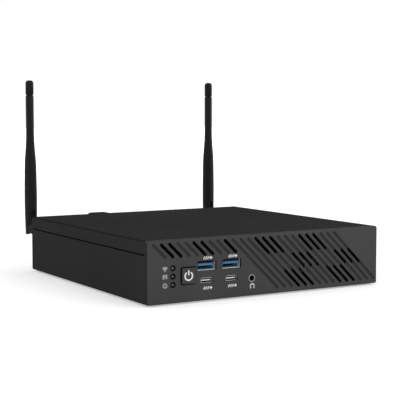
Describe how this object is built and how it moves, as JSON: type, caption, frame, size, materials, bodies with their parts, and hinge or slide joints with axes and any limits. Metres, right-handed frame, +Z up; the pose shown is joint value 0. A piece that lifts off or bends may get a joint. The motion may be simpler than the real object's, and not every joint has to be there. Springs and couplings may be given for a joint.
{
  "type": "small form factor computer",
  "caption": "Flat desktop computer in a folded steel case: slanted-groove front bezel with sockets and power button, rear sockets, exhaust vent and swivelling, tilting antennas.",
  "frame": {"origin": "centre of the whole footprint, antennas included, on the surface the feet stand on", "axes": "+X to the right seen from the front, +Y from the front bezel to the rear, +Z up"},
  "size_m": [0.175, 0.2036, 0.139],
  "materials": {
    "case_steel": "black powder coat, satin",
    "bezel_plastic": "dark grey, fine moulded grain",
    "button_plastic": "dark grey, fine moulded grain",
    "foot_rubber": "matt black",
    "screw_steel": "zinc plated",
    "socket_steel": "nickel plated",
    "inner_steel": "bare sheet",
    "blue_plastic": "blue",
    "black_plastic": "black",
    "circuit_board": "solder mask over glass fibre",
    "carrier_board": "green, with a bright metal cover",
    "copper": "bare copper",
    "aluminium_fins": "plain",
    "clear_plastic": "clear moulding",
    "coax_brass": "gold plated",
    "antenna_plastic": "soft black"
  },
  "bodies": {
    "case": {"base_tray": "case_steel", "rear_panel": "case_steel", "top_lid": "case_steel", "front_bezel": "bezel_plastic", "feet": "foot_rubber", "lid_thumbscrew": "screw_steel", "rear_panel_screws": "screw_steel", "light_pipe": "clear_plastic", "front_io_board": "circuit_board", "power_switch": "black_plastic", "front_board_screws": "screw_steel", "headset_jack": "black_plastic", "headset_collar": "socket_steel", "mainboard": "circuit_board", "board_standoffs": "screw_steel", "inside_screws": "screw_steel", "processor_socket": "inner_steel", "processor": "carrier_board", "cold_plate": "aluminium_fins", "heat_pipe": "copper", "heatsink_fins": "aluminium_fins", "fan_housing": "black_plastic", "fan_cover": "inner_steel", "ssd_module": "circuit_board", "wireless_card": "circuit_board", "coin_cell": "inner_steel", "drive_bracket": "inner_steel", "drive": "inner_steel", "dc_jack": "black_plastic", "network_port": "socket_steel", "antenna_nuts": "coax_brass", "front_usb_a_shell_1": "socket_steel", "front_usb_a_insert_1": "blue_plastic", "front_usb_c_shell_1": "socket_steel", "front_usb_c_insert_1": "black_plastic", "video_port_1": "socket_steel", "rear_usb_shell_1": "socket_steel", "rear_usb_insert_1": "blue_plastic", "memory_module_1": "circuit_board", "front_usb_a_shell_2": "socket_steel", "front_usb_a_insert_2": "blue_plastic", "front_usb_c_shell_2": "socket_steel", "front_usb_c_insert_2": "black_plastic", "video_port_2": "socket_steel", "rear_usb_shell_2": "socket_steel", "rear_usb_insert_2": "blue_plastic", "memory_module_2": "circuit_board", "antenna_left_jack": "coax_brass", "antenna_left_sleeve": "antenna_plastic", "antenna_right_jack": "coax_brass", "antenna_right_sleeve": "antenna_plastic"},
    "power_button": {"power_button": "button_plastic"},
    "fan_rotor": {"fan_rotor": "black_plastic"},
    "antenna_left_base": {"antenna_left_knuckle": "antenna_plastic"},
    "antenna_left_whip": {"antenna_left_pin": "antenna_plastic", "antenna_left_whip": "antenna_plastic"},
    "antenna_right_base": {"antenna_right_knuckle": "antenna_plastic"},
    "antenna_right_whip": {"antenna_right_pin": "antenna_plastic", "antenna_right_whip": "antenna_plastic"}
  },
  "joints": [
    {"name": "power_button_press", "type": "slide", "parent": "case", "child": "power_button", "axis": [0, 1, 0], "range_m": [0, 0.001], "stiffness_N_per_m": 600},
    {"name": "fan_spin", "type": "hinge", "parent": "case", "child": "fan_rotor", "pos_m": [0.029, 0.0052, 0.016], "axis": [0, 0, 1], "continuous": true},
    {"name": "antenna_left_swivel", "type": "hinge", "parent": "case", "child": "antenna_left_base", "pos_m": [-0.08, 0.0892, 0.0293], "axis": [0, 1, 0], "continuous": true},
    {"name": "antenna_left_tilt", "type": "hinge", "parent": "antenna_left_base", "child": "antenna_left_whip", "pos_m": [-0.08, 0.0972, 0.0293], "axis": [-1, 0, 0], "range_deg": [0, 90]},
    {"name": "antenna_right_swivel", "type": "hinge", "parent": "case", "child": "antenna_right_base", "pos_m": [0.0747, 0.0892, 0.0293], "axis": [0, 1, 0], "continuous": true},
    {"name": "antenna_right_tilt", "type": "hinge", "parent": "antenna_right_base", "child": "antenna_right_whip", "pos_m": [0.0747, 0.0972, 0.0293], "axis": [-1, 0, 0], "range_deg": [0, 90]}
  ]
}
